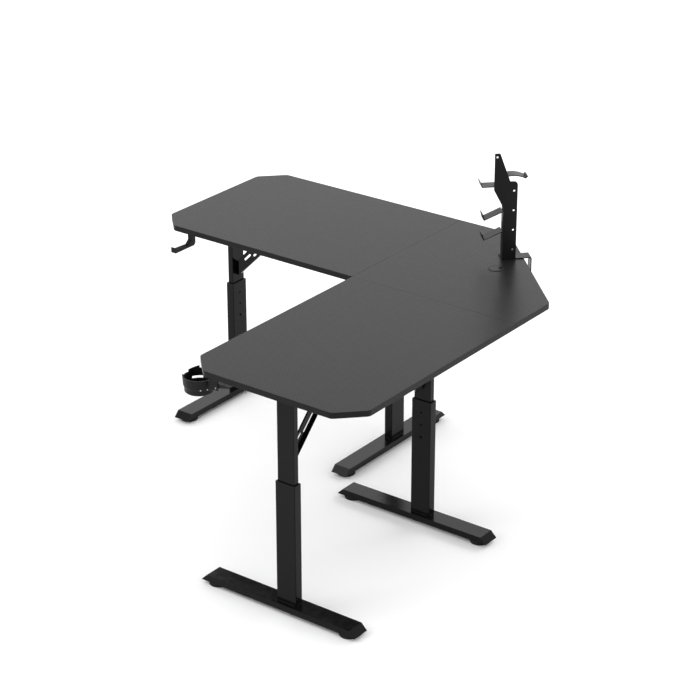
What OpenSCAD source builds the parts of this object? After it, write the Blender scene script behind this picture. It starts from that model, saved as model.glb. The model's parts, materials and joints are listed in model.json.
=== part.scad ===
// Corner desk with a three-panel L-shaped top, four T-shaped telescopic legs and
// bolted-on accessories. The origin is on the floor, under the middle of the
// square that the top fits in. +X and +Y point at the back corner.

/* [Worktop] */
// Length of each wing, from its free end to the back corner
side_len = 1400; // [1300:10:1500]
// Front-to-back depth of each wing
wing_depth = 600; // [580:10:680]
// Thickness of the panels
top_t = 18; // [16:1:25]
// Height of the working surface at the lowest setting
desk_h = 726; // [715:1:760]
// Chamfer cut off each free corner
end_chamfer = 75; // [40:5:100]
// Leg length of the large chamfer cut off the back corner
back_chamfer = 412; // [340:2:440]
// Radius that softens each corner of the outline
corner_r = 22; // [12:1:28]
// Thickness of the edge banding
band_t = 1.5; // [1:0.1:2]
// Width of the joint line between two panels
seam_gap = 0.6; // [0.2:0.1:1]

/* [Legs] */
// Distance of each outer column's centre from the free end of its wing
column_end = 68; // [60:1:80]
// Distance of each inner column's centre from the free end of its wing
column_inner = 738; // [720:1:745]
// Distance of every column's centre from the back edge
column_back = 280; // [270:1:300]
// Width of the outer tube, along the foot
sleeve_w = 70; // [66:1:80]
// Depth of the outer tube, across the foot
sleeve_d = 30; // [30:1:36]
// Height of the top of the outer tube above the floor
sleeve_top = 420; // [410:1:425]
// Width of the inner tube
tube_w = 60; // [56:1:60]
// Depth of the inner tube
tube_d = 20; // [18:1:22]
// Wall of every steel tube
wall = 1.5; // [1.2:0.1:2]
// Distance between two height settings
height_step = 42; // [36:1:42]

/* [Feet] */
// Length of the foot's underside
foot_len = 565; // [480:5:570]
// Width of the foot
foot_w = 60; // [50:1:64]
// Height of the foot bar, and so of its 45 degree ends
foot_h = 20; // [18:1:24]
// How far the foot sits towards the user from the column's centre
foot_shift = 26; // [0:1:30]
// Radius of a levelling glide
glide_r = 29; // [22:1:30]
// Height of a levelling glide when screwed right in
glide_h = 13; // [10:1:14]

/* [Accessories] */
// Distance of the headset hook from the left wing's free end
hook_x = 124; // [100:1:200]
// Reach of the hook's arm
hook_reach = 84; // [70:1:120]
// Inside radius of the cup holder
cup_r = 41.5; // [38:0.5:43]
// Height of the cup holder's rim above the floor
cup_rim = 634; // [625:1:640]
// Height of the accessory post's top above the worktop
post_h = 354; // [320:1:380]

/* [Hidden] */
inner = side_len - wing_depth;
under = desk_h - top_t;
leg_pos = [
  [column_end, side_len - column_back],
  [side_len - column_back, column_end],
  [side_len - column_back, column_inner],
  [column_inner, side_len - column_back]
];
leg_in = [[1, 0], [0, 1], [0, -1], [-1, 0]];
leg_front = [[0, -1], [-1, 0], [-1, 0], [0, -1]];

// head frame under the top
bar_w = 40;
bar_h = 20;
bar_back = 188;
bar_front = 250;
bar_bottom = under - bar_h;
rail_w = 28;
rail_h = 25;
rail_bottom = under - rail_h;
rail_len = column_inner - column_end - bar_w;
cap_t = 3;
front_brace_sum = 2 * (column_inner + bar_w / 2) + 142;
rear_brace_sum = front_brace_sum + 400;

// telescopic tubes
tube_bottom = 100;
lock_z = 299;
lock_count = 3;
lock_hole_r = 3.2;
bush_h = 24;
bush_lip = 2;
slide_gap = 0.3;
foot_bottom = glide_h;
foot_top = foot_bottom + foot_h;
foot_wall = 2;
glide_inset = 42;
stud_r = 4;
stud_len = 16;
nut_bore_r = 4.05;

// gussets: flat against the side of the rail, joggled in to the column's middle
gusset_t = 2;
gusset_root_z = 447;
gusset_sum = 428;
gusset_band = 58;
gusset_root_y = 3;
gusset_joggle_x = 26;
gusset_low_flange = 11;
gusset_top_flange = 5;
slot_w = 7;
gusset_slots = [[35.5, 54, 76], [20, 93, 225]];
gusset_tab = [150, 300];
gusset_bolt_x = [168, 225, 282];
bolt_r = 3;
bolt_hole_r = 3.2;
bolt_head_r = 5.5;
bolt_head_h = 3;
nut_r = 5.5;
nut_h = 4;
bolt_z = under - 12;
lock_head_r = 4.5;
lock_head_h = 2;

// wood screws
screw_r = 2;
screw_hole_r = 2.6;
screw_bite = 12;
screw_head_r = 4.2;
screw_head_h = 2.4;
seam_plate = [76, 40, 2];
seam_spots = [1010, 1365];

// cable grommet
grommet = [1120, 1120];
grommet_hole_r = 23;
grommet_flange_r = 25.5;
grommet_flange_t = 1.2;
grommet_inner_r = 20.5;
grommet_seat_r = 17;
grommet_seat_z = desk_h - 1.8;
grommet_seat_t = 2.2;
grommet_skirt_z = under - 4;
grommet_cap_gap = 0.4;
grommet_cap_t = 3;
grommet_notch_at = 13;
grommet_notch_r = 5;

// headset hook: a channel, seen from the side as an L with a lip
hook_w = 18;
hook_t = 3;
hook_y = inner + 22;
hook_low = 660;
hook_arm_h = 8;
hook_arm_rise = 3;
hook_lip_h = 19;
hook_back = 17;
hook_bend = 13;
hook_tab = 46;

// cup holder: a cup with an arm, hung from a bracket under the top
cup_at = [752, 123];
cup_wall = 2.5;
cup_h = 51;
cup_step = 32;
cup_step_out = 5;
cup_slant = 5;
cup_floor = 3;
cup_notch = [190, 34, 7];
cup_slot = [136, 32, 20];
cup_slot_h = 7;
cup_tab_turn = [127.5, 165];
cup_tab_h = 7;
cup_arm_w = 32;
cup_arm_end = 127;
cup_arm_knee = 78;
cup_arm_drop = 16;
cup_drain_at = 24;
cup_bracket_x = [54, 98];
cup_riser_w = 32;
cup_riser_drop = 22;
cup_screw_r = 2.2;
cup_screw_turn = [-45, -20];
cup_screw_z = cup_rim - 30;
cup_screw_at = cup_r + cup_wall + 3.3;
cup_boss_r = 3.5;
accessory_screw_spots = [
  [hook_x, hook_y + 25], [hook_x, hook_y + 38],
  for (dx = [64, 88], dy = [0, 20]) cup_at + [dx, dy]
];

// accessory stand: n is measured outwards from the big chamfer, t along it
stand_t = 3;
stand_w = 42;
stand_side = 67.6;
stand_mid = stand_side + stand_w / 2;
stand_reach = 22;
stand_back = -74;
stand_bolt_n = [-62, -40];
jaw_z = 668;
jaw_back = -52;
clamp_n = -30;
clamp_top = under - 0.2;
clamp_pad_r = 12;
knob_r = 16;
knob_h = 12;
knob_top = jaw_z - 22;
post_n = [-72, -28];
post_top_n = [-103, -86];
post_rib_w = 24;
post_rib_h = 230;
post_hole_n = -39;
post_hole_r = 3.2;
post_hole_z = [761, 826, 891, 956];
saddle_r = 90;
saddle_mid = [-44, 916];
saddle_half_angle = 28;
saddle_tip = [[2, 1001], [5, 1000]];
post_shoulder_z = 987;
post_bend_r = 12;
post_taper_z = [900, 960];
post_top_hole = [-95, -12];
cradle_roots = [[post_n[0], 888], [post_n[0], 822]];
cradle_size = [58, 26, 18];
top_cradle_root = [-90, 972];
top_cradle_size = [49, 0, 14];
cradle_lean = 4;

steel = [0.13, 0.13, 0.14];
steel_light = [0.22, 0.22, 0.23];
laminate = [0.27, 0.27, 0.28];
edge_black = [0.15, 0.15, 0.16];
plastic = [0.08, 0.08, 0.085];
zinc = [0.45, 0.46, 0.48];

LEGS = [0:3];

// ---- geometry helpers ----

function unit(v) = v / norm(v);
function left_of(p, q) = let (e = unit(q - p)) [-e.y, e.x];

// moves every side of a counter-clockwise outline inwards by d
function inset(pts, d) = [
  for (i = [0:len(pts) - 1])
    let (n1 = left_of(pts[(i + len(pts) - 1) % len(pts)], pts[i]),
         n2 = left_of(pts[i], pts[(i + 1) % len(pts)]))
      pts[i] + d * (n1 + n2) / (1 + n1 * n2)
];

// replaces each outward corner by an arc of radius r in steps segments
function corner_arc(a, b, c, r, steps) =
  let (u = unit(a - b), v = unit(c - b), half = acos(u * v) / 2,
       centre = b + unit(u + v) * r / sin(half),
       from = b + u * r / tan(half) - centre,
       start = atan2(from.y, from.x), sweep = 180 - 2 * half)
    cross(b - a, c - b) < 0 ? [b] :
    [for (k = [0:steps]) centre + r * [cos(start + sweep * k / steps),
                                       sin(start + sweep * k / steps)]];
function rounded(pts, r, steps) = [
  for (i = [0:len(pts) - 1])
    each corner_arc(pts[(i + len(pts) - 1) % len(pts)], pts[i],
                    pts[(i + 1) % len(pts)], r, steps)
];
function rect(w, d) = [[-w / 2, -d / 2], [w / 2, -d / 2], [w / 2, d / 2], [-w / 2, d / 2]];

// outline of the whole top, moved inwards by d
function top_outline(d) =
  rounded(inset([
    [end_chamfer, inner], [inner, inner], [inner, end_chamfer],
    [inner + end_chamfer, 0], [side_len - end_chamfer, 0], [side_len, end_chamfer],
    [side_len, side_len - back_chamfer], [side_len - back_chamfer, side_len],
    [end_chamfer, side_len], [0, side_len - end_chamfer], [0, inner + end_chamfer]
  ], d), corner_r - d, 5);

// a point given in a leg's own axes: x towards the rail, y towards the user
function leg_point(i, x, y) = leg_pos[i] + leg_in[i] * x + leg_front[i] * y;
function swap(p) = [p.y, p.x];

bar_screws = [for (i = LEGS, y = [-165, -60, 100, 220]) leg_point(i, 0, y)];
front_brace_screws = [for (t = [-53, 0, 53]) [front_brace_sum / 2 + t, front_brace_sum / 2 - t]];
rear_brace_screws = [
  for (t = [-244, -127, 0, 127, 244]) [rear_brace_sum / 2 + t, rear_brace_sum / 2 - t]
];
seam_plate_screws = [
  for (s = seam_spots, dx = [-25, 25], dy = [-12, 12], flip = [false, true])
    let (p = [inner + dx, s + dy]) flip ? swap(p) : p
];
long_screws = concat(bar_screws, front_brace_screws, rear_brace_screws);

module place() {
  translate([-side_len / 2, -side_len / 2, 0]) children();
}

module at_leg(i) {
  place()
    multmatrix([[leg_in[i].x, leg_front[i].x, 0, leg_pos[i].x],
                [leg_in[i].y, leg_front[i].y, 0, leg_pos[i].y],
                [0, 0, 1, 0], [0, 0, 0, 1]])
      children();
}

// n outwards across the big chamfer, t along it, origin at the edge's middle
module at_chamfer() {
  place()
    translate([side_len - back_chamfer / 2, side_len - back_chamfer / 2, 0])
      rotate([0, 0, 45])
        children();
}

module tube(w, d, r, h, t = wall) {
  linear_extrude(h)
    difference() {
      polygon(rounded(rect(w, d), r, 4));
      polygon(rounded(rect(w - 2 * t, d - 2 * t), max(r - t, 0.5), 3));
    }
}

module tube_x(x0, x1, w, bottom, h) {
  translate([x0, 0, bottom + h / 2])
    rotate([90, 0, 90])
      tube(w, h, 2, x1 - x0);
}

module profile_y(pts, y0, y1) {
  translate([0, y1, 0])
    rotate([90, 0, 0])
      linear_extrude(y1 - y0)
        polygon(pts);
}

module rod_y(x, z, r, y0, y1) {
  translate([x, y1, z])
    rotate([90, 0, 0])
      cylinder(r = r, h = y1 - y0, $fn = 32);
}

module rod_x(y, z, r, x0, x1) {
  translate([x0, y, z])
    rotate([0, 90, 0])
      cylinder(r = r, h = x1 - x0, $fn = 32);
}

module holes(points, r, z0, z1) {
  for (p = points)
    translate([p.x, p.y, z0])
      cylinder(r = r, h = z1 - z0, $fn = 24);
}

// ---- worktop ----

module region(which) {
  half = seam_gap / 2;
  if (which == "left") {
    square([inner - half, side_len + 1]);
  }
  if (which == "corner") {
    translate([inner + half, inner + half]) square(wing_depth + 1);
  }
  if (which == "right") {
    translate([inner, 0]) square([wing_depth + 1, inner - half]);
  }
}

module panel(which) {
  color(laminate)
    place()
      difference() {
        translate([0, 0, under])
          linear_extrude(top_t)
            intersection() {
              polygon(top_outline(band_t));
              region(which);
            }
        translate([grommet.x, grommet.y, under - 1])
          cylinder(r = grommet_hole_r, h = top_t + 2, $fn = 64);
        holes(concat(long_screws, seam_plate_screws, accessory_screw_spots),
              screw_r, under - 1, under + screw_bite);
      }
}

module edge_banding() {
  color(edge_black)
    place()
      translate([0, 0, under])
        for (which = ["left", "corner", "right"])
          linear_extrude(top_t)
            intersection() {
              difference() {
                polygon(top_outline(0));
                polygon(top_outline(band_t));
              }
              region(which);
            }
}

module seam_plate_at(p, along_x) {
  size = along_x ? [seam_plate.x, seam_plate.y] : [seam_plate.y, seam_plate.x];
  translate([p.x - size.x / 2, p.y - size.y / 2, under - seam_plate.z])
    cube([size.x, size.y, seam_plate.z]);
}

module seam_plates() {
  color(zinc)
    place()
      difference() {
        for (s = seam_spots) {
          seam_plate_at([inner, s], true);
          seam_plate_at([s, inner], false);
        }
        holes(seam_plate_screws, screw_hole_r, under - 5, under + 1);
      }
}

module wood_screw(p, head_z) {
  translate([p.x, p.y, head_z - screw_head_h]) {
    cylinder(r = screw_head_r, h = screw_head_h, $fn = 24);
    cylinder(r = screw_r, h = under + screw_bite - head_z + screw_head_h, $fn = 24);
  }
}

module wood_screws() {
  color(zinc)
    place() {
      for (p = long_screws)
        wood_screw(p, bar_bottom);
      for (p = seam_plate_screws)
        wood_screw(p, under - seam_plate.z);
    }
}

// ---- frame under the top ----

module rail(i) {
  color(steel)
    at_leg(i)
      difference() {
        tube_x(bar_w / 2, bar_w / 2 + rail_len, rail_w, rail_bottom, rail_h);
        for (x = gusset_bolt_x) {
          rod_y(x, bolt_z, bolt_hole_r, -rail_w, rail_w);
          rod_y(rail_len + bar_w - x, bolt_z, bolt_hole_r, -rail_w, rail_w);
        }
      }
}

module corner_brace(sum, screws) {
  reach = sum - column_inner;
  color(steel)
    place()
      difference() {
        intersection() {
          translate([sum / 2, sum / 2, 0])
            rotate([0, 0, -45])
              tube_x(-reach, reach, bar_w, bar_bottom, bar_h);
          translate([column_inner + bar_w / 2, column_inner + bar_w / 2, 0])
            cube([side_len, side_len, desk_h]);
        }
        holes(screws, screw_hole_r, bar_bottom - 1, under + 1);
      }
}

module head_bar(i) {
  color(steel)
    difference() {
      at_leg(i)
        translate([0, bar_front, bar_bottom + bar_h / 2])
          rotate([90, 0, 0])
            tube(bar_w, bar_h, 2, bar_back + bar_front);
      place()
        holes(bar_screws, screw_hole_r, bar_bottom - 1, under + 1);
    }
}

module head_bar_caps() {
  color(plastic)
    for (i = LEGS, y = [-bar_back, bar_front - cap_t])
      at_leg(i)
        translate([0, y + cap_t, bar_bottom + bar_h / 2])
          rotate([90, 0, 0])
            linear_extrude(cap_t)
              polygon(rounded(rect(bar_w - 2 * wall, bar_h - 2 * wall), 0.5, 3));
}

// ---- telescopic legs ----

module inner_tube(i) {
  color(steel)
    at_leg(i)
      difference() {
        translate([0, 0, tube_bottom])
          rotate([0, 0, 90])
            tube(tube_w, tube_d, 2, bar_bottom - tube_bottom);
        for (k = [0:4])
          rod_x(0, lock_z - k * height_step, lock_hole_r, tube_d / 2 - 4, tube_d / 2 + 1);
      }
}

// collars at the lower ends of the inner tubes that run inside the outer tubes
module tube_plugs() {
  run_w = sleeve_w - 2 * wall - 2 * slide_gap;
  run_d = sleeve_d - 2 * wall - 2 * slide_gap;
  color(plastic)
    for (i = LEGS)
      at_leg(i)
        translate([0, 0, tube_bottom - 4])
          rotate([0, 0, 90])
            difference() {
              linear_extrude(22)
                polygon(rounded(rect(run_w, run_d), 1, 3));
              translate([0, 0, 4])
                linear_extrude(20)
                  polygon(rounded(rect(tube_w, tube_d), 2, 4));
            }
}

module sleeve(i) {
  color(steel)
    at_leg(i)
      difference() {
        translate([0, 0, foot_top])
          rotate([0, 0, 90])
            tube(sleeve_w, sleeve_d, 2.5, sleeve_top - foot_top);
        for (k = [0:lock_count - 1])
          rod_x(0, lock_z + k * height_step, lock_hole_r, sleeve_d / 2 - 4, sleeve_d / 2 + 1);
      }
}

module sleeve_bush(i) {
  color(plastic)
    at_leg(i)
      rotate([0, 0, 90])
        difference() {
          union() {
            translate([0, 0, sleeve_top - bush_h])
              linear_extrude(bush_h)
                polygon(rounded(rect(sleeve_w - 2 * wall, sleeve_d - 2 * wall), 1, 3));
            translate([0, 0, sleeve_top])
              linear_extrude(bush_lip)
                polygon(rounded(rect(sleeve_w, sleeve_d), 2.5, 4));
          }
          translate([0, 0, sleeve_top - bush_h - 1])
            linear_extrude(bush_h + bush_lip + 2)
              polygon(rounded(rect(tube_w + 2 * slide_gap, tube_d + 2 * slide_gap), 2.2, 4));
        }
}

module lock_screw(i) {
  tip = tube_d / 2 + slide_gap;
  color(edge_black)
    at_leg(i) {
      rod_x(0, lock_z, bolt_r, tip, sleeve_d / 2 + 1);
      rod_x(0, lock_z, lock_head_r, sleeve_d / 2, sleeve_d / 2 + lock_head_h);
    }
}

// ---- feet ----

function foot_side(d) =
  let (back = foot_shift - foot_len / 2, front = foot_shift + foot_len / 2)
    inset([[back, foot_bottom], [front, foot_bottom],
           [front - foot_h, foot_top], [back + foot_h, foot_top]], d);

module foot_prism(d, w) {
  rotate([90, 0, 90])
    translate([0, 0, -w / 2])
      linear_extrude(w)
        polygon(foot_side(d));
}

function glide_y(front) =
  front ? foot_shift + foot_len / 2 - glide_inset : foot_shift - foot_len / 2 + glide_inset;

module foot_bar(i) {
  color(steel)
    at_leg(i)
      difference() {
        union() {
          difference() {
            foot_prism(0, foot_w);
            foot_prism(foot_wall, foot_w - 2 * foot_wall);
          }
          for (front = [false, true])
            translate([0, glide_y(front), foot_bottom + 0.5])
              cylinder(r = 7, h = 9, $fn = 48);
        }
        for (front = [false, true])
          translate([0, glide_y(front), foot_bottom - 1])
            cylinder(r = nut_bore_r, h = 12, $fn = 48);
      }
}

module glide(i, front) {
  color(plastic)
    at_leg(i)
      translate([0, glide_y(front), 0])
        rotate_extrude($fn = 72)
          polygon([[0, 0], [glide_r - 1.5, 0], [glide_r, 1.5], [glide_r, glide_h - 2],
                   [glide_r - 2, glide_h], [stud_r, glide_h], [stud_r, glide_h + stud_len - 1],
                   [stud_r - 1, glide_h + stud_len], [0, glide_h + stud_len]]);
}

// ---- gussets between each column and its rail ----

// a slot parallel to the gusset: height of its centre above the underside, first x, last x
module gusset_slot(spot) {
  len = (spot[2] - spot[1]) * sqrt(2);
  translate([spot[1], rail_w, spot[1] + gusset_sum + spot[0]])
    rotate([90, -45, 0])
      linear_extrude(2 * rail_w)
        hull() {
          circle(r = slot_w / 2, $fn = 32);
          translate([len, 0]) circle(r = slot_w / 2, $fn = 32);
        }
}

// the slanted region between two heights above the underside's line, up to z = top
module gusset_region(low, high, x0, top) {
  profile_y([[x0, x0 + gusset_sum + low], [top - gusset_sum - low, top],
             [top - gusset_sum - high, top], [x0, x0 + gusset_sum + high]],
            -rail_w, rail_w);
}

module gusset_flange(depth, low) {
  side = rail_w / 2;
  intersection() {
    linear_extrude(desk_h)
      polygon([[gusset_joggle_x, side + gusset_t - depth], [rail_len, side + gusset_t - depth],
               [rail_len, side + 0.5], [gusset_joggle_x, side + 0.5]]);
    gusset_region(low, low + gusset_t * sqrt(2), gusset_joggle_x, rail_bottom - 0.5);
  }
}

module gusset_sheet() {
  face = tube_d / 2;
  side = rail_w / 2;
  end = gusset_tab[1];
  joggle = gusset_joggle_x;
  root = gusset_root_y;
  top = under - gusset_t;
  intersection() {
    linear_extrude(desk_h)
      polygon([[face, root], [face, root - gusset_t], [joggle, side],
               [end, side], [end, side + gusset_t], [joggle, side + gusset_t]]);
    union() {
      difference() {
        gusset_region(0, gusset_band, face, top);
        profile_y([[0, 0], [joggle, 0], [joggle, joggle + gusset_sum],
                   [face, gusset_root_z], [0, gusset_root_z]], -rail_w, rail_w);
      }
      profile_y([[gusset_tab[0], rail_bottom], [end, rail_bottom],
                 [end, top], [gusset_tab[0], top]], 0, rail_w);
    }
  }
}

module gusset(i) {
  color(steel)
    at_leg(i)
      difference() {
        union() {
          gusset_sheet();
          gusset_flange(gusset_low_flange, 0);
          gusset_flange(gusset_top_flange, gusset_band - gusset_t * sqrt(2));
        }
        for (spot = gusset_slots)
          gusset_slot(spot);
        for (x = gusset_bolt_x)
          rod_y(x, bolt_z, bolt_hole_r, 0, rail_w);
      }
}

module gusset_bolts() {
  grip = rail_w / 2 + gusset_t;
  color(zinc)
    for (i = LEGS, x = gusset_bolt_x)
      at_leg(i) {
        rod_y(x, bolt_z, bolt_r, -rail_w / 2, grip);
        rod_y(x, bolt_z, bolt_head_r, grip, grip + bolt_head_h);
        translate([x, -rail_w / 2, bolt_z])
          rotate([90, 0, 0])
            cylinder(r = nut_r, h = nut_h, $fn = 6);
      }
}

// ---- cable grommet ----

module grommet_ring() {
  top = desk_h + grommet_flange_t;
  seat = grommet_seat_z;
  slope = grommet_inner_r - grommet_seat_r;
  color(plastic)
    place()
      translate([grommet.x, grommet.y, 0])
        rotate_extrude($fn = 72)
          polygon([[grommet_inner_r, grommet_skirt_z], [grommet_hole_r - 0.2, grommet_skirt_z],
                   [grommet_hole_r - 0.2, desk_h], [grommet_flange_r, desk_h],
                   [grommet_flange_r - 0.6, top], [grommet_inner_r, top],
                   [grommet_inner_r, seat], [grommet_seat_r, seat],
                   [grommet_seat_r, seat - grommet_seat_t],
                   [grommet_inner_r, seat - grommet_seat_t - slope]]);
}

module grommet_cap() {
  color(laminate)
    place()
      translate([grommet.x, grommet.y, grommet_seat_z])
        difference() {
          cylinder(r = grommet_inner_r - grommet_cap_gap, h = grommet_cap_t, $fn = 72);
          rotate([0, 0, 45]) {
            translate([grommet_notch_at, 0, -1])
              cylinder(r = grommet_notch_r, h = grommet_cap_t + 2, $fn = 32);
            translate([grommet_notch_at, -grommet_notch_r, -1])
              cube([grommet_inner_r, 2 * grommet_notch_r, grommet_cap_t + 2]);
          }
        }
}

// ---- headset hook under the left wing's front edge ----

// the hook's outline from the side, moved inwards by d on the user's side only
function hook_outline(d, low, back, top) =
  let (tip = hook_y - hook_reach, arm = hook_low + hook_arm_h - d)
    [[hook_y + d, top], [hook_y + d, arm + hook_bend], [hook_y + d - hook_bend, arm],
     [tip + hook_bend, arm + hook_arm_rise], [tip + hook_t, arm + hook_arm_rise],
     [tip + hook_t, low], [back, low], [back, top]];

module headset_hook() {
  tip = hook_y - hook_reach;
  left = hook_x - hook_w / 2;
  back = hook_y + hook_back;
  lip_top = hook_low + hook_lip_h;
  color(steel)
    place()
      difference() {
        union() {
          translate([left, 0, 0])
            rotate([90, 0, 90])
              linear_extrude(hook_w) {
                difference() {
                  polygon(hook_outline(0, hook_low, back, under));
                  polygon([[back - 8, hook_low - 1], [back + 1, hook_low - 1],
                           [back + 1, hook_low + 8]]);
                }
                polygon([[tip, hook_low + 2], [tip + 2, hook_low],
                         [tip + hook_t + 1, hook_low], [tip + hook_t + 1, lip_top - 4],
                         [tip + hook_t, lip_top], [tip, lip_top]]);
              }
          translate([left, hook_y, under - hook_t]) cube([hook_w, hook_tab, hook_t]);
        }
        translate([left + hook_t, 0, 0])
          rotate([90, 0, 90])
            linear_extrude(hook_w - 2 * hook_t)
              polygon(hook_outline(hook_t, hook_low - 1, back + 1, under - hook_t));
        holes(accessory_screw_spots, screw_hole_r, under - 5, under + 1);
      }
}

// ---- cup holder under the near wing's inner corner ----

module cup_arm() {
  root = cup_rim - cup_h / 2;
  knee = cup_rim - cup_arm_drop;
  profile_y([[0, root], [cup_arm_knee, knee], [cup_arm_end, cup_rim - cup_floor - 1],
             [cup_arm_end, cup_rim], [0, cup_rim]], -cup_arm_w / 2, cup_arm_w / 2);
}

// the rim's far side, which rises to one side
module cup_tab() {
  sweep = cup_tab_turn[1] - cup_tab_turn[0];
  inside = cup_r + cup_step_out + 0.1;
  half_chord = inside * sin(sweep / 2);
  difference() {
    rotate([0, 0, cup_tab_turn[0]])
      rotate_extrude(angle = sweep, $fn = 96)
        translate([inside, cup_rim - 0.5])
          square([cup_wall - 0.3, 0.5 + cup_tab_h]);
    rotate([0, 0, cup_tab_turn[0] + sweep / 2])
      translate([inside, 0, cup_rim + cup_tab_h / 2 + 0.2])
        rotate([-atan(cup_tab_h / 2 / half_chord), 0, 0])
          translate([-inside, -inside, 0]) cube([2 * inside, 2 * inside, 20]);
  }
}

module cup_holder() {
  low = cup_rim - cup_h;
  slant_low = cup_rim - cup_step - cup_slant;
  slant_top = cup_rim - cup_step + cup_slant;
  out = cup_r + cup_wall;
  lip = cup_step_out;
  edge = 0.7 * lip;
  color(plastic)
    place()
      translate([cup_at.x, cup_at.y, 0])
        difference() {
          union() {
            rotate_extrude($fn = 96)
              polygon([[0, low], [out - 3, low], [out, low + 3], [out, slant_low],
                       [out + edge, slant_top], [out + lip, cup_rim],
                       [cup_r + lip, cup_rim], [cup_r + edge, slant_top + 1],
                       [cup_r, slant_low + 1], [cup_r, low + cup_floor],
                       [0, low + cup_floor]]);
            cup_tab();
            for (a = cup_screw_turn)
              rotate([0, 0, a])
                rod_x(0, cup_screw_z, cup_boss_r, cup_r + cup_wall + 0.6, cup_screw_at);
            difference() {
              cup_arm();
              translate([0, 0, -cup_floor])
                scale([1, 1 - 2 * cup_floor / cup_arm_w, 1])
                  cup_arm();
              translate([0, 0, low - 1])
                cylinder(r1 = cup_r + 1, r2 = out + lip - 1, h = cup_h + 2, $fn = 96);
            }
          }
          rotate([0, 0, cup_notch[0]])
            translate([cup_r - 3, -cup_notch[1] / 2, cup_rim - cup_notch[2]])
              cube([20, cup_notch[1], 20]);
          rotate([0, 0, cup_slot[0]])
            translate([cup_r - 3, -cup_slot[1] / 2, low + cup_slot[2]])
              cube([20, cup_slot[1], cup_slot_h]);
          for (a = [0:72:288])
            rotate([0, 0, a])
              translate([cup_drain_at, 0, low - 1]) cylinder(r = 3, h = cup_floor + 2, $fn = 24);
        }
}

// a riser on the arm's near face and a tab that is screwed under the top
module cup_bracket() {
  x0 = cup_at.x + cup_bracket_x[0];
  face = cup_at.y - cup_arm_w / 2;
  low = cup_rim - cup_riser_drop;
  color(steel)
    place()
      difference() {
        union() {
          translate([x0, face - hook_t, low])
            cube([cup_riser_w, hook_t, under - low]);
          translate([x0, face - hook_t, under - hook_t])
            cube([cup_bracket_x[1] - cup_bracket_x[0], cup_arm_w + 2 * hook_t + 10, hook_t]);
        }
        holes(accessory_screw_spots, screw_hole_r, under - 5, under + 1);
      }
}

module accessory_screws() {
  color(zinc) {
    place() {
      for (p = accessory_screw_spots)
        wood_screw(p, under - hook_t);
      translate([cup_at.x, cup_at.y, 0]) {
        for (a = cup_screw_turn)
          rotate([0, 0, a])
            rod_x(0, cup_screw_z, cup_screw_r, cup_screw_at, cup_screw_at + 1.2);
        rod_y(cup_arm_knee, cup_rim - cup_arm_drop + 1, cup_screw_r,
              -cup_arm_w / 2 - hook_t - 1.2, -cup_arm_w / 2 - hook_t);
      }
    }
    at_chamfer()
      for (n = stand_bolt_n)
        translate([n, stand_mid, desk_h]) {
          translate([0, 0, 2 * stand_t]) cylinder(r = 5, h = 2.6, $fn = 32);
          cylinder(r = bolt_r, h = 2 * stand_t + 2, $fn = 32);
        }
  }
}

// ---- accessory stand clamped over the big chamfer ----

module strip(pts) {
  translate([0, stand_side + stand_w, 0])
    rotate([90, 0, 0])
      linear_extrude(stand_w)
        polygon(pts);
}

module stand_bolt_holes() {
  for (n = stand_bolt_n)
    translate([n, stand_mid, desk_h - 1])
      cylinder(r = bolt_hole_r, h = 2 * stand_t + 2, $fn = 32);
}

module stand_clamp() {
  out = stand_reach + stand_t;
  color(steel)
    at_chamfer()
      difference() {
        strip([[stand_back, desk_h], [stand_reach, desk_h], [stand_reach, jaw_z + stand_t],
               [jaw_back, jaw_z + stand_t], [jaw_back, jaw_z], [out - 3, jaw_z],
               [out, jaw_z + 3], [out, desk_h], [out - 3, desk_h + stand_t],
               [stand_back, desk_h + stand_t]]);
        translate([clamp_n, stand_mid, jaw_z - 1])
          cylinder(r = nut_bore_r, h = stand_t + 2, $fn = 48);
        stand_bolt_holes();
      }
}

module clamp_screw() {
  color(plastic)
    at_chamfer()
      translate([clamp_n, stand_mid, 0])
        difference() {
          rotate_extrude($fn = 64)
            polygon([[0, knob_top - knob_h], [knob_r - 1, knob_top - knob_h],
                     [knob_r, knob_top + 2 - knob_h], [knob_r, knob_top - 2],
                     [knob_r - 1, knob_top], [stud_r, knob_top],
                     [stud_r, under - 5], [clamp_pad_r - 1, under - 5],
                     [clamp_pad_r, under - 4], [clamp_pad_r, clamp_top], [0, clamp_top]]);
          for (a = [0:45:315])
            rotate([0, 0, a])
              translate([knob_r + 2, 0, knob_top - knob_h - 6])
                cylinder(r = 4, h = 20, $fn = 24);
        }
}

module stand_post() {
  top = desk_h + post_h;
  base = desk_h + stand_t;
  left = post_n[0];
  right = post_n[1];
  bend_mid = [right - post_bend_r, post_shoulder_z - post_bend_r];
  color(steel)
    at_chamfer()
      difference() {
        union() {
          translate([0, stand_side, 0])
            rotate([90, 0, 0])
              linear_extrude(stand_t)
                polygon(concat(
                  [[left, base], [right, base]],
                  [for (a = [0:18:90]) bend_mid + post_bend_r * [cos(a), sin(a)]],
                  [[jaw_back, post_shoulder_z], [post_top_n[1], top], [post_top_n[0], top],
                   [post_top_n[0], post_taper_z[1]], [left, post_taper_z[0]]]));
          translate([left, stand_side, base]) cube([right - left, stand_w, stand_t]);
          translate([left, stand_side - 0.01, base]) cube([stand_t, post_rib_w, post_rib_h]);
        }
        for (z = post_hole_z)
          rod_y(post_hole_n, z, post_hole_r, stand_side - 10, stand_side + 1);
        rod_y(post_top_hole[0], top + post_top_hole[1], post_hole_r,
              stand_side - 10, stand_side + 1);
        stand_bolt_holes();
      }
}

function saddle_arc(r, a0, a1) =
  [for (k = [0:14]) let (a = a0 + (a1 - a0) * k / 14) saddle_mid + r * [cos(a), sin(a)]];

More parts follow.
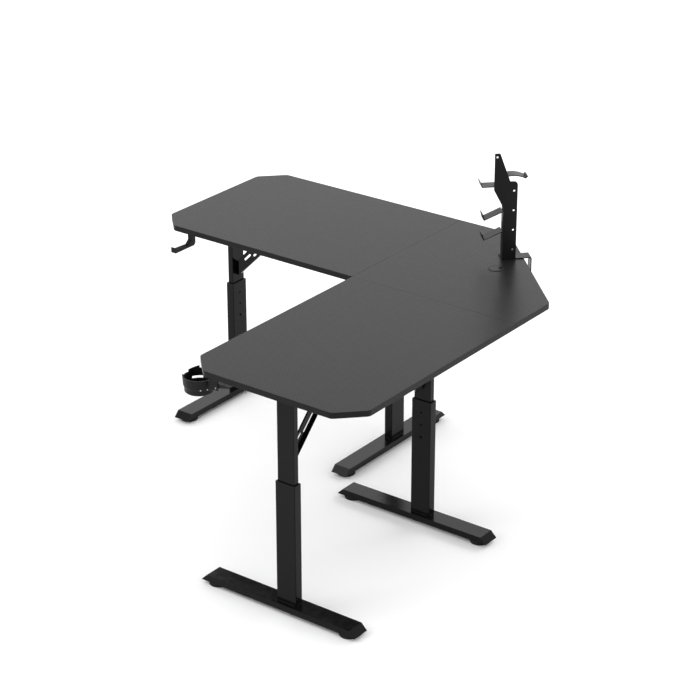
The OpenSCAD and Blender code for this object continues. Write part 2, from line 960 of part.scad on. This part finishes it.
module headset_saddle() {
  a0 = 90 + saddle_half_angle;
  a1 = 90 - saddle_half_angle;
  color(steel_light)
    at_chamfer()
      strip(concat(saddle_arc(saddle_r, a0, a1), saddle_tip,
                   saddle_arc(saddle_r - stand_t, a1, a0)));
}

// one J-shaped shelf: root is where it leaves the post, size is run, drop and lip
module cradle(root, size) {
  foot = root + [-size[0], -size[1]];
  tip = root + [-size[0] - cradle_lean, size[2] - size[1]];
  strip([root, foot, tip, tip - [stand_t, 0], foot - [cradle_lean / 2, stand_t],
         root - [0, stand_t]]);
}

module controller_cradles() {
  color(steel)
    at_chamfer() {
      for (root = cradle_roots)
        cradle(root, cradle_size);
      cradle(top_cradle_root, top_cradle_size);
    }
}

// ---- what is drawn ----

panel("left");  // left_panel
panel("corner");  // corner_panel
panel("right");  // right_panel
edge_banding();
seam_plates();
wood_screws();
rail(0);  // left_rail
rail(1);  // right_rail
corner_brace(front_brace_sum, front_brace_screws);  // front_corner_brace
corner_brace(rear_brace_sum, rear_brace_screws);  // rear_corner_brace
head_bar(0);  // head_bar_1
head_bar(1);  // head_bar_2
head_bar(2);  // head_bar_3
head_bar(3);  // head_bar_4
head_bar_caps();
inner_tube(0);  // inner_tube_1
inner_tube(1);  // inner_tube_2
inner_tube(2);  // inner_tube_3
inner_tube(3);  // inner_tube_4
tube_plugs();
gusset(0);  // gusset_1
gusset(1);  // gusset_2
gusset(2);  // gusset_3
gusset(3);  // gusset_4
gusset_bolts();
sleeve(0);  // sleeve_1
sleeve(1);  // sleeve_2
sleeve(2);  // sleeve_3
sleeve(3);  // sleeve_4
sleeve_bush(0);  // sleeve_bush_1
sleeve_bush(1);  // sleeve_bush_2
sleeve_bush(2);  // sleeve_bush_3
sleeve_bush(3);  // sleeve_bush_4
lock_screw(0);  // lock_screw_1
lock_screw(1);  // lock_screw_2
lock_screw(2);  // lock_screw_3
lock_screw(3);  // lock_screw_4
foot_bar(0);  // foot_bar_1
foot_bar(1);  // foot_bar_2
foot_bar(2);  // foot_bar_3
foot_bar(3);  // foot_bar_4
glide(0, true);  // front_glide_1
glide(1, true);  // front_glide_2
glide(2, true);  // front_glide_3
glide(3, true);  // front_glide_4
glide(0, false);  // rear_glide_1
glide(1, false);  // rear_glide_2
glide(2, false);  // rear_glide_3
glide(3, false);  // rear_glide_4
grommet_ring();
grommet_cap();
headset_hook();
cup_holder();
cup_bracket();
stand_clamp();
clamp_screw();
stand_post();
headset_saddle();
controller_cradles();
accessory_screws();
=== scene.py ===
"""Corner desk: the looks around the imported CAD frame."""
import json
import math

import bmesh
import bpy
from mathutils import Matrix, Vector


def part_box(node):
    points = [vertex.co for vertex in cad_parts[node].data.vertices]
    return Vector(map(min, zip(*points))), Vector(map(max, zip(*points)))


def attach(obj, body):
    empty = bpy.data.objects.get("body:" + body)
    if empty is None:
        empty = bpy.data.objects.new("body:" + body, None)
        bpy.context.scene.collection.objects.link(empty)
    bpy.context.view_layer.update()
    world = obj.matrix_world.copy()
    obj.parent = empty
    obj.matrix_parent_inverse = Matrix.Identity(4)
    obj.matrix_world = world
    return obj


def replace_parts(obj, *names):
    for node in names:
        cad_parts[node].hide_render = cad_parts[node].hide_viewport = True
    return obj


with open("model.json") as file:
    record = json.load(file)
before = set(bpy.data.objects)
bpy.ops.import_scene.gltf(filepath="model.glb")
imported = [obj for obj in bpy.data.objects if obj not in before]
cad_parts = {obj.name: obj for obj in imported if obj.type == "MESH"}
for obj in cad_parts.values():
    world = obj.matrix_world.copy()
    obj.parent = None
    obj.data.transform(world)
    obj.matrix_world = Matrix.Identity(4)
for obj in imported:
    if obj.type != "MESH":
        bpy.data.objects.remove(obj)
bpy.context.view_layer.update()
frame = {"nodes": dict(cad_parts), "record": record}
NODES = frame["nodes"]
LEGS = (1, 2, 3, 4)
MM = 0.001
TURN = 2 * math.pi


# ---------------------------------------------------------------- materials

class Graph:
    """A small helper that adds nodes to one material and links them."""

    def __init__(self, name):
        self.material = bpy.data.materials.new(name)
        self.material.use_nodes = True
        self.tree = self.material.node_tree
        self.shader = self.tree.nodes["Principled BSDF"]
        self.point = self.tree.nodes.new("ShaderNodeTexCoord").outputs["Object"]

    def link(self, source, target):
        self.tree.links.new(source, target)

    def set(self, **values):
        for name, value in values.items():
            self.shader.inputs[name.replace("_", " ")].default_value = value

    def math(self, operation, a, b=0.0):
        node = self.tree.nodes.new("ShaderNodeMath")
        node.operation = operation
        for socket, value in zip(node.inputs, (a, b)):
            if isinstance(value, (int, float)):
                socket.default_value = value
            else:
                self.link(value, socket)
        return node.outputs[0]

    def noise(self, size, detail=2.0, stretch=(1, 1, 1)):
        """Noise whose features are about size metres across."""
        mapping = self.tree.nodes.new("ShaderNodeMapping")
        mapping.inputs["Scale"].default_value = stretch
        self.link(self.point, mapping.inputs["Vector"])
        node = self.tree.nodes.new("ShaderNodeTexNoise")
        node.inputs["Scale"].default_value = 1 / size
        node.inputs["Detail"].default_value = detail
        self.link(mapping.outputs[0], node.inputs["Vector"])
        return node.outputs["Fac"]

    def spread(self, value, low, high):
        """value from 0.3 to 0.7 becomes low to high."""
        node = self.tree.nodes.new("ShaderNodeMapRange")
        node.inputs["From Min"].default_value = 0.3
        node.inputs["From Max"].default_value = 0.7
        node.inputs["To Min"].default_value = low
        node.inputs["To Max"].default_value = high
        self.link(value, node.inputs["Value"])
        return node.outputs[0]

    def mix(self, fac, dark, light):
        node = self.tree.nodes.new("ShaderNodeMix")
        node.data_type = "RGBA"
        node.inputs["A"].default_value = (*dark, 1)
        node.inputs["B"].default_value = (*light, 1)
        self.link(fac, node.inputs["Factor"])
        return node.outputs["Result"]

    def bump(self, height, depth, strength=1.0):
        node = self.tree.nodes.new("ShaderNodeBump")
        node.inputs["Strength"].default_value = strength
        node.inputs["Distance"].default_value = depth
        self.link(height, node.inputs["Height"])
        self.link(node.outputs[0], self.shader.inputs["Normal"])


def shade(colour, factor):
    return tuple(channel * factor for channel in colour)


def laminate_material():
    """Charcoal laminate printed and embossed with a 2/2 twill weave."""
    cell = 2.6 * MM
    base = (0.0125, 0.0125, 0.0134)
    g = Graph("laminate")
    g.set(Specular_IOR_Level=0.09)
    split = g.tree.nodes.new("ShaderNodeSeparateXYZ")
    g.link(g.point, split.inputs[0])
    u = g.math("MULTIPLY", split.outputs["X"], 1 / cell)
    v = g.math("MULTIPLY", split.outputs["Y"], 1 / cell)
    sum_of_cells = g.math("ADD", g.math("FLOOR", u), g.math("FLOOR", v))
    warp_over = g.math("LESS_THAN", g.math("FLOORED_MODULO", sum_of_cells, 4), 2)
    crown_u = g.math("SINE", g.math("MULTIPLY", g.math("FRACT", u), math.pi))
    crown_v = g.math("SINE", g.math("MULTIPLY", g.math("FRACT", v), math.pi))
    over = g.math("MULTIPLY", warp_over, crown_u)
    under = g.math("MULTIPLY", g.math("SUBTRACT", 1, warp_over), crown_v)
    crown = g.math("ADD", over, under)
    haze = g.noise(0.02, 3)
    tint = g.math("ADD", g.math("MULTIPLY", warp_over, 0.8), g.math("MULTIPLY", haze, 0.2))
    g.link(g.mix(tint, shade(base, 0.6), shade(base, 1.4)), g.shader.inputs["Base Color"])
    g.link(g.spread(g.noise(0.01, 4), 0.32, 0.36), g.shader.inputs["Roughness"])
    grain = g.math("MULTIPLY", g.noise(0.0006, 1), 0.25)
    g.bump(g.math("ADD", crown, grain), 0.05 * MM, 0.6)
    return g.material


def coated_material(name, base, rough, peel, depth):
    """A coat of powder paint: orange peel, faint dust and uneven gloss."""
    g = Graph(name)
    g.set(Specular_IOR_Level=0.12)
    g.link(g.mix(g.noise(0.05, 5), shade(base, 0.8), shade(base, 1.2)), g.shader.inputs["Base Color"])
    g.link(g.spread(g.noise(0.02, 4), rough - 0.04, rough + 0.04), g.shader.inputs["Roughness"])
    fine = g.math("MULTIPLY", g.noise(peel / 4, 2), 0.35)
    g.bump(g.math("ADD", g.noise(peel, 2), fine), depth, 0.5)
    return g.material


def plastic_material(name, base, rough, grain, depth, specular=0.14):
    """Moulded plastic with a fine spark-eroded grain."""
    g = Graph(name)
    g.set(Specular_IOR_Level=specular)
    g.link(g.mix(g.noise(0.03, 4), shade(base, 0.85), shade(base, 1.15)), g.shader.inputs["Base Color"])
    g.link(g.spread(g.noise(0.01, 3), rough - 0.05, rough + 0.07), g.shader.inputs["Roughness"])
    g.bump(g.noise(grain, 3), depth, 0.6)
    return g.material


def screw_material(name, base, rough):
    """Plated steel with turning marks and dull patches."""
    g = Graph(name)
    g.set(Metallic=1.0)
    g.link(g.mix(g.noise(0.002, 4), shade(base, 0.75), shade(base, 1.25)), g.shader.inputs["Base Color"])
    g.link(g.spread(g.noise(0.0012, 4), rough - 0.1, rough + 0.12), g.shader.inputs["Roughness"])
    g.bump(g.noise(0.0003, 2, (1, 1, 3)), 0.02 * MM, 0.5)
    return g.material


# Each plastic or coat: name, colour, roughness, size of its grain in metres, depth of its grain
MATERIALS = {
    "laminate": laminate_material(),
    "edge_band": plastic_material("edge_band", (0.005, 0.005, 0.0053), 0.36, 0.0011, 0.03 * MM),
    "frame_steel": coated_material("frame_steel", (0.0036, 0.0036, 0.0039), 0.2, 0.0016, 0.04 * MM),
    "accessory_steel": coated_material("accessory_steel", (0.006, 0.006, 0.0064), 0.32, 0.0013, 0.04 * MM),
    "black_plastic": plastic_material("black_plastic", (0.008, 0.008, 0.0084), 0.42, 0.0007, 0.05 * MM),
    "glide_pad": plastic_material("glide_pad", (0.01, 0.01, 0.01), 0.55, 0.0009, 0.06 * MM),
    "screws": screw_material("screws", (0.1, 0.1, 0.105), 0.42),
}
LIGHT_SCREWS = screw_material("plated_screws", (0.5, 0.5, 0.52), 0.34)
BLACK_SCREWS = plastic_material("black_screws", (0.003, 0.003, 0.003), 0.6, 0.0005, 0.03 * MM, 0.04)
# The grommet cap is plastic, faced with the top's laminate
CAP_FACE = laminate_material()
CAP_FACE.name = "grommet_cap_face"


# ---------------------------------------------------------------- finishing the CAD nodes

def slot_of(node):
    """The material slot that the record gives a node."""
    for part in frame["record"]["subparts"]:
        if part["node"] == node:
            return part["material_slot"]
    raise KeyError(node)


WELD_DISTANCE = 0.002 * MM
FLAT_ANGLE = math.radians(0.3)
EDGE_ANGLE = math.radians(28)


def soften(obj, width):
    """Joins flat triangles, then rounds the edges as paint, moulding or rolling does."""
    weld = obj.modifiers.new("weld", "WELD")
    weld.merge_threshold = WELD_DISTANCE
    flats = obj.modifiers.new("flats", "DECIMATE")
    flats.decimate_type = "DISSOLVE"
    flats.angle_limit = FLAT_ANGLE
    bevel = obj.modifiers.new("edges", "BEVEL")
    bevel.width = width
    bevel.segments = 2
    bevel.limit_method = "ANGLE"
    bevel.angle_limit = EDGE_ANGLE
    bevel.harden_normals = False
    normals = obj.modifiers.new("normals", "WEIGHTED_NORMAL")
    normals.keep_sharp = False
    normals.weight = 80


# Edge radius in millimetres, by the first of these words that a node's name holds
EDGE_WIDTHS = {
    "panel": 0.3, "edge_banding": 0.7, "sleeve_bush": 0.5, "sleeve": 0.45, "inner_tube": 0.4,
    "foot_bar": 0.9, "gusset": 0.35, "rail": 0.4, "head_bar": 0.4, "brace": 0.4,
    "headset_hook": 0.6, "cup_holder": 0.7, "cup_bracket": 0.5, "stand": 0.5,
    "headset_saddle": 0.5, "controller_cradles": 0.5, "grommet": 0.25,
}
OTHER_EDGE = 0.3


def finish_nodes():
    """Gives every CAD node its slot's material and softened edges."""
    for node, obj in NODES.items():
        obj.data.materials.clear()
        obj.data.materials.append(MATERIALS[slot_of(node)])
        obj.data.shade_smooth()
        width = next((w for key, w in EDGE_WIDTHS.items() if key in node), OTHER_EDGE)
        soften(obj, width * MM)
    NODES["grommet_cap"].data.materials[0] = CAP_FACE


# ---------------------------------------------------------------- making detailed pieces

MICRON = 1e-6


def islands(node):
    """The lowest and highest corners of each separate solid in a CAD node."""
    mesh = NODES[node].data
    keys = [tuple(round(c / MICRON) for c in v.co) for v in mesh.vertices]
    parent = {key: key for key in keys}

    def root(key):
        while parent[key] != key:
            parent[key] = parent[parent[key]]
            key = parent[key]
        return key

    for polygon in mesh.polygons:
        first = root(keys[polygon.vertices[0]])
        for index in polygon.vertices[1:]:
            parent[root(keys[index])] = first
    groups = {}
    for key in parent:
        groups.setdefault(root(key), []).append(key)
    boxes = []
    for points in groups.values():
        low = Vector([min(p[i] for p in points) * MICRON for i in range(3)])
        high = Vector([max(p[i] for p in points) * MICRON for i in range(3)])
        boxes.append((low, high))
    return sorted(boxes, key=lambda b: tuple(round(c, 5) for c in b[0]))


def frame_along(direction, at, turn=0.0):
    """A matrix whose +Z points along direction, at a place, turned about itself."""
    z = Vector(direction).normalized()
    helper = Vector((0, 0, 1)) if abs(z.z) < 0.9 else Vector((1, 0, 0))
    x = helper.cross(z).normalized()
    y = z.cross(x)
    rotation = Matrix((x, y, z)).transposed().to_4x4()
    return Matrix.Translation(at) @ rotation @ Matrix.Rotation(turn, 4, "Z")


def add_rings(mesh, matrix, rings):
    """Joins rings of points with the same count into a skin, and caps its ends."""
    made = []
    for ring in rings:
        made.append([mesh.verts.new(matrix @ Vector(p)) for p in ring])
    count = len(made[0])
    for lower, upper in zip(made, made[1:]):
        for i in range(count):
            j = (i + 1) % count
            mesh.faces.new((lower[i], lower[j], upper[j], upper[i]))
    mesh.faces.new(list(reversed(made[0])))
    mesh.faces.new(made[-1])


def circle(radius, z, count):
    return [(radius * math.cos(TURN * k / count), radius * math.sin(TURN * k / count), z)
            for k in range(count)]


def star(inner, outer, z, lobes, count):
    """A closed outline whose radius swings between two values."""
    middle = (inner + outer) / 2
    swing = (outer - inner) / 2
    points = []
    for k in range(count):
        angle = TURN * k / count
        radius = middle + swing * math.cos(lobes * angle)
        points.append((radius * math.cos(angle), radius * math.sin(angle), z))
    return points


def polygon_ring(radius, z, sides, count):
    """A regular polygon's outline, sampled at count evenly turned points."""
    points = []
    for k in range(count):
        angle = TURN * k / count
        part = (angle % (TURN / sides)) - math.pi / sides
        reach = radius * math.cos(math.pi / sides) / math.cos(part)
        points.append((reach * math.cos(angle), reach * math.sin(angle), z))
    return points


SCREW_SIDES = 48
DOME_STEPS = 6
DOME_START = math.radians(12)
DOME_END = math.radians(75)


def add_screw(mesh, matrix, head_r, head_h, shank_r, shank_len, drive="cross"):
    """A domed screw: its head rises along +Z from 0 and its shank goes down along -Z."""
    count = SCREW_SIDES
    tip = 0.6 * MM
    recess_r = head_r * (0.5 if drive == "cross" else 0.62)
    depth = head_h * 0.62
    rings = [circle(shank_r * 0.7, -shank_len, count), circle(shank_r, tip - shank_len, count)]
    rings += [circle(shank_r, 0, count), circle(head_r * 0.98, 0, count)]
    for k in range(DOME_STEPS + 1):
        angle = DOME_START + (DOME_END - DOME_START) * k / DOME_STEPS
        radius = head_r * math.cos(angle) / math.cos(DOME_START)
        if radius < recess_r * 1.25:
            break
        rings.append(circle(radius, head_h * math.sin(angle) / math.sin(DOME_END), count))
    if drive == "cross":
        recess = [star(recess_r * 0.3, recess_r, z, 4, count) for z in (head_h, head_h - depth)]
        recess.append(star(recess_r * 0.2, recess_r * 0.4, head_h - depth * 1.1, 4, count))
    else:
        recess = [polygon_ring(recess_r, z, 6, count) for z in (head_h, head_h - depth)]
        recess.append(circle(recess_r * 0.3, head_h - depth * 1.15, count))
    rings += recess
    add_rings(mesh, matrix, rings)


def add_nut(mesh, matrix, radius, height, bore):
    """A hex nut with chamfered corners, and the end of its bolt inside it."""
    count = SCREW_SIDES
    chamfer = 0.35 * MM
    add_rings(mesh, matrix, [
        polygon_ring(radius * 0.95, 0, 6, count), polygon_ring(radius, chamfer, 6, count),
        polygon_ring(radius, height - chamfer, 6, count), polygon_ring(radius * 0.95, height, 6, count),
        circle(bore * 1.1, height, count), circle(bore, height - 0.5 * MM, count),
        circle(bore * 0.85, height - 0.5 * MM, count), circle(bore * 0.8, height + 0.4 * MM, count),
    ])


def make_piece(name, mesh, slot, body, material=None, smooth_angle=32):
    """Turns a bmesh into a piece of the object that rides on a body."""
    bmesh.ops.recalc_face_normals(mesh, faces=mesh.faces)
    data = bpy.data.meshes.new(name)
    mesh.to_mesh(data)
    mesh.free()
    obj = bpy.data.objects.new(name, data)
    bpy.context.scene.collection.objects.link(obj)
    data.materials.append(material or MATERIALS[slot])
    data.shade_smooth()
    data.set_sharp_from_angle(angle=math.radians(smooth_angle))
    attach(obj, body)
    return obj


# ---------------------------------------------------------------- screws and bolts

PAN_HEAD_H = 2.4 * MM
WOOD_SHANK_R = 2 * MM
BOLT_R = 3 * MM


def make_wood_screws():
    """Pan-head screws, each turned differently, that hold the frame and plates under the top."""
    mesh = bmesh.new()
    turns_per_x = 977
    turns_per_y = 613
    for low, high in islands("wood_screws"):
        at = ((low.x + high.x) / 2, (low.y + high.y) / 2, low.z + PAN_HEAD_H)
        length = high.z - low.z - PAN_HEAD_H
        radius = (high.x - low.x) / 2
        turn = (at[0] * turns_per_x + at[1] * turns_per_y) % math.pi
        add_screw(mesh, frame_along((0, 0, -1), at, turn), radius, PAN_HEAD_H, WOOD_SHANK_R, length)
    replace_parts(make_piece("wood_screws_detail", mesh, "screws", "worktop"), "wood_screws")


def make_gusset_bolts():
    """Socket button-head bolts through the rails, with hex nuts behind."""
    bolts = bmesh.new()
    head_r = 5.5 * MM
    head_h = 3 * MM
    nut_h = 4 * MM
    bolt_end = 0.4 * MM
    for low, high in islands("gusset_bolts"):
        middle = (low + high) / 2
        along_x = high.x - low.x > high.y - low.y
        axis = Vector((-1, 0, 0)) if along_x else Vector((0, -1, 0))
        reach = (high.x - low.x if along_x else high.y - low.y) / 2
        head_at = middle + axis * (reach - head_h)
        add_screw(bolts, frame_along(axis, head_at), head_r, head_h, BOLT_R,
                  2 * reach - head_h - nut_h, "hex")
        add_nut(bolts, frame_along(-axis, middle - axis * (reach - nut_h)), head_r,
                nut_h - bolt_end, BOLT_R)
    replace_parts(make_piece("gusset_bolts_detail", bolts, "screws", "worktop"), "gusset_bolts")


def make_lock_screws():
    """The socket screw that sets each leg's height."""
    head_r = 4.5 * MM
    head_h = 2 * MM
    for leg in LEGS:
        low, high = [Vector(c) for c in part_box(f"lock_screw_{leg}")]
        sleeve = [(a + b) / 2 for a, b in zip(*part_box(f"sleeve_{leg}"))]
        middle = (low + high) / 2
        out = Vector((middle.x - sleeve[0], middle.y - sleeve[1], 0))
        out = Vector((math.copysign(1, out.x), 0, 0)) if abs(out.x) > abs(out.y) else (
            Vector((0, math.copysign(1, out.y), 0)))
        reach = abs((high - low).dot(out))
        mesh = bmesh.new()
        head_at = middle + out * (reach / 2 - head_h)
        add_screw(mesh, frame_along(out, head_at), head_r, head_h, BOLT_R, reach - head_h, "hex")
        piece = make_piece(f"lock_screw_detail_{leg}", mesh, "screws", f"leg_{leg}", BLACK_SCREWS)
        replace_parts(piece, f"lock_screw_{leg}")


def make_accessory_screws():
    """The accessories' wood screws, the stand's two bolts and the cup holder's screws."""
    dark = bmesh.new()
    light = bmesh.new()
    cup_low, cup_high = [Vector(c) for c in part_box("cup_holder")]
    cup_mid = Vector((cup_low.x + (cup_high.y - cup_low.y) / 2, (cup_low.y + cup_high.y) / 2, 0))
    cup_reach = 55 * MM
    long_screw = 10 * MM
    wide_head = 9 * MM
    bolt_head_h = 2.6 * MM
    small_r = 2.2 * MM
    small_h = 1.2 * MM
    small_shank = 1 * MM
    for low, high in islands("accessory_screws"):
        middle = (low + high) / 2
        size = high - low
        if size.z > long_screw:
            at = (middle.x, middle.y, low.z + PAN_HEAD_H)
            add_screw(dark, frame_along((0, 0, -1), at), size.x / 2, PAN_HEAD_H, WOOD_SHANK_R,
                      size.z - PAN_HEAD_H)
        elif size.x > wide_head:
            at = (middle.x, middle.y, high.z - bolt_head_h)
            add_screw(dark, frame_along((0, 0, 1), at), size.x / 2, bolt_head_h, BOLT_R,
                      size.z - bolt_head_h, "hex")
        else:
            out = Vector((middle.x - cup_mid.x, middle.y - cup_mid.y, 0))
            if out.length > cup_reach:
                out = Vector((0, -1, 0))
            out.normalize()
            at = middle - out * small_h / 2
            add_screw(light, frame_along(out, at), small_r, small_h, small_shank, small_shank)
    first = make_piece("accessory_screws_detail", dark, "screws", "worktop")
    make_piece("cup_screws_detail", light, "screws", "worktop", LIGHT_SCREWS)
    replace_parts(first, "accessory_screws")


# ---------------------------------------------------------------- glides, clamp screw, welds

def make_glides():
    """Levelling glides with a grip rim, a dished top, a boss and a stud."""
    for leg in LEGS:
        for end in ("front", "rear"):
            node = f"{end}_glide_{leg}"
            low, high = [Vector(c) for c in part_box(node)]
            at = ((low.x + high.x) / 2, (low.y + high.y) / 2, low.z)
            radius = (high.x - low.x) / 2
            top = high.z - low.z
            pad_h = 13 * MM
            boss_r = 8.5 * MM
            stud_r = 4 * MM
            count = 144
            lobes = 36
            grip = radius - 0.9 * MM
            mesh = bmesh.new()
            rings = [
                circle(radius - 7 * MM, 0.7 * MM, count), circle(radius - 6 * MM, 0, count),
                circle(radius - 1.5 * MM, 0, count), circle(radius - 0.4 * MM, 0.5 * MM, count),
                circle(radius, 1.5 * MM, count), circle(radius, 3.2 * MM, count),
                star(grip, radius, 3.8 * MM, lobes, count), star(grip, radius, 9.8 * MM, lobes, count),
                circle(radius - 0.2 * MM, 10.4 * MM, count), circle(radius - 0.8 * MM, 11.9 * MM, count),
                circle(radius - 2.2 * MM, pad_h, count), circle(radius - 4 * MM, pad_h, count),
                circle(radius - 5 * MM, pad_h - 1 * MM, count),
                circle(boss_r + 1.5 * MM, pad_h - 1 * MM, count), circle(boss_r, pad_h, count),
                circle(stud_r, pad_h, count), circle(stud_r, top - 1 * MM, count),
                circle(stud_r - 1 * MM, top, count),
            ]
            add_rings(mesh, Matrix.Translation(at), rings)
            piece = make_piece(f"{node}_detail", mesh, "glide_pad", f"{end}_glide_{leg}")
            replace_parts(piece, node)


def make_clamp_screw():
    """A fluted knob, a threaded rod and a swivel pad."""
    low, high = [Vector(c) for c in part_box("clamp_screw")]
    at = Vector(((low.x + high.x) / 2, (low.y + high.y) / 2, 0))
    knob_r = (high.x - low.x) / 2
    knob_h = 12 * MM
    pad_h = 5 * MM
    pad_r = 12 * MM
    pad_z = high.z - pad_h
    lobes = 8
    count = 96
    mesh = bmesh.new()
    flute = knob_r - 2 * MM
    z = low.z
    rings = [
        circle(knob_r * 0.55, z + 0.8 * MM, count), circle(knob_r * 0.62, z, count),
        star(flute - 1.5 * MM, knob_r - 1.5 * MM, z, lobes, count),
        star(flute, knob_r, z + 1.5 * MM, lobes, count),
        star(flute, knob_r, z + knob_h - 2 * MM, lobes, count),
        star(flute - 1.5 * MM, knob_r - 1.5 * MM, z + knob_h - 0.4 * MM, lobes, count),
        circle(7 * MM, z + knob_h, count), circle(6 * MM, z + knob_h + 1 * MM, count),
        circle(4 * MM, z + knob_h + 1 * MM, count),
    ]
    add_rings(mesh, Matrix.Translation(at), rings)
    pad = [
        circle(5 * MM, pad_z - 1.5 * MM, count), circle(7 * MM, pad_z, count),
        circle(pad_r - 1 * MM, pad_z, count), circle(pad_r, pad_z + 1 * MM, count),
        circle(pad_r, high.z - 0.6 * MM, count), circle(pad_r - 0.6 * MM, high.z, count),
    ]
    add_rings(mesh, Matrix.Translation(at), pad)
    piece = make_piece("clamp_knob_detail", mesh, "black_plastic", "clamp_screw")
    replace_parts(piece, "clamp_screw")

    rod = bmesh.new()
    root_r = 3.25 * MM
    thread_h = 0.7 * MM
    pitch = 1.25 * MM
    steps = 6
    turns = int((pad_z - z - knob_h) / pitch)
    around = 32
    rings = []
    for k in range(turns * steps + 1):
        height = z + knob_h + k * pitch / steps
        ring = []
        for i in range(around):
            phase = (k / steps - i / around) % 1
            radius = root_r + thread_h * abs(2 * phase - 1)
            angle = TURN * i / around
            ring.append((radius * math.cos(angle), radius * math.sin(angle), height))
        rings.append(ring)
    add_rings(rod, Matrix.Translation(at), rings)
    make_piece("clamp_rod_detail", rod, "screws", "clamp_screw", LIGHT_SCREWS, 60)


def add_bead(mesh, start, end, radius, seed):
    """A rippled weld bead from one point to another."""
    start = Vector(start)
    end = Vector(end)
    length = (end - start).length
    step = 1.1 * MM
    steps = max(6, int(length / step))
    around = 8
    matrix = frame_along(end - start, start)
    rings = []
    for k in range(steps + 1):
        ripple = 1 + 0.16 * math.sin(k * 2.1) + 0.07 * math.sin(k * 0.61 + seed)
        taper = min(1, 0.45 + 0.25 * min(k, steps - k))
        rings.append(circle(radius * ripple * taper, length * k / steps, around))
    add_rings(mesh, matrix, rings)


def weld_round(name, tube, z, radius, inset, seeds, body):
    """One bead along each side of a tube's box, at a height."""
    low, high = [Vector(c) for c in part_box(tube)]
    mesh = bmesh.new()
    corners = [(low.x, low.y), (high.x, low.y), (high.x, high.y), (low.x, high.y)]
    for k in range(4):
        start = Vector((*corners[k], z))
        end = Vector((*corners[(k + 1) % 4], z))
        gap = (end - start).normalized() * inset
        add_bead(mesh, start + gap, end - gap, radius, seeds + k)
    make_piece(name, mesh, "frame_steel", body, None, 60)


def make_welds():
    """Fillet welds where each outer tube stands on its foot, and each inner tube meets its bar."""
    overlap = 0.3 * MM
    for leg in LEGS:
        foot_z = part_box(f"sleeve_{leg}")[0][2] + overlap
        weld_round(f"foot_weld_{leg}", f"sleeve_{leg}", foot_z, 1.9 * MM, 3 * MM, leg, f"leg_{leg}")
        head_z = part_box(f"inner_tube_{leg}")[1][2] - overlap
        weld_round(f"head_weld_{leg}", f"inner_tube_{leg}", head_z, 1.6 * MM, 2.5 * MM, 2 * leg,
                   "worktop")


# ---------------------------------------------------------------- camera and light

CAMERA_AT = Vector((3.872, -4.971, 3.365))
CAMERA_AZIMUTH = math.radians(36.698)
CAMERA_ELEVATION = math.radians(24.560)
CAMERA_LENS = 114.07


def make_camera():
    """A long lens from the user's right and well above the worktop."""
    data = bpy.data.cameras.new("camera")
    camera = bpy.data.objects.new("camera", data)
    bpy.context.scene.collection.objects.link(camera)
    data.sensor_width = 36
    data.lens = CAMERA_LENS
    data.clip_start = 0.1
    data.clip_end = 100
    back = Vector((
        math.sin(CAMERA_AZIMUTH) * math.cos(CAMERA_ELEVATION),
        -math.cos(CAMERA_AZIMUTH) * math.cos(CAMERA_ELEVATION),
        math.sin(CAMERA_ELEVATION),
    ))
    camera.location = CAMERA_AT
    camera.rotation_mode = "QUATERNION"
    camera.rotation_quaternion = (-back).to_track_quat("-Z", "Y")
    bpy.context.scene.camera = camera


def area_light(name, at, look_at, size, power):
    """A soft rectangular light that points at look_at."""
    data = bpy.data.lights.new(name, "AREA")
    data.shape = "RECTANGLE"
    data.size, data.size_y = size
    data.energy = power
    light = bpy.data.objects.new(name, data)
    light.location = at
    light.rotation_mode = "QUATERNION"
    light.rotation_quaternion = (Vector(look_at) - Vector(at)).to_track_quat("-Z", "Y")
    bpy.context.scene.collection.objects.link(light)


def make_lights():
    """A white surround with four large soft boxes; the sheen lights the feet's glossy tops."""
    world = bpy.data.worlds.new("surround")
    bpy.context.scene.world = world
    world.use_nodes = True
    background = world.node_tree.nodes["Background"]
    background.inputs["Color"].default_value = (1, 1, 1, 1)
    background.inputs["Strength"].default_value = 1.12
    # name, place, what it points at, size in metres, power in watts
    area_light("key", (-2.5, -3.5, 4.0), (0, 0, 0.5), (2.5, 2.5), 60)
    area_light("fill", (4.0, -1.0, 3.0), (0, 0, 0.5), (2.5, 2.5), 20)
    area_light("back", (0.5, 4.0, 3.5), (0, 0, 0.6), (3.0, 1.5), 50)
    area_light("sheen", (-3.3, 4.4, 3.0), (0, 0, 0.4), (5.0, 3.0), 42)


FLOOR_REACH = 30


def make_floor():
    """The plain pale floor."""
    mesh = bmesh.new()
    bmesh.ops.create_grid(mesh, x_segments=1, y_segments=1, size=FLOOR_REACH)
    data = bpy.data.meshes.new("floor")
    mesh.to_mesh(data)
    mesh.free()
    floor = bpy.data.objects.new("floor", data)
    bpy.context.scene.collection.objects.link(floor)
    material = bpy.data.materials.new("floor_white")
    material.use_nodes = True
    shader = material.node_tree.nodes["Principled BSDF"]
    shader.inputs["Base Color"].default_value = (0.96, 0.96, 0.96, 1)
    shader.inputs["Roughness"].default_value = 0.9
    data.materials.append(material)


finish_nodes()
make_wood_screws()
make_gusset_bolts()
make_lock_screws()
make_accessory_screws()
make_glides()
make_clamp_screw()
make_welds()
make_camera()
make_lights()
make_floor()
bpy.context.scene.view_settings.view_transform = "Standard"
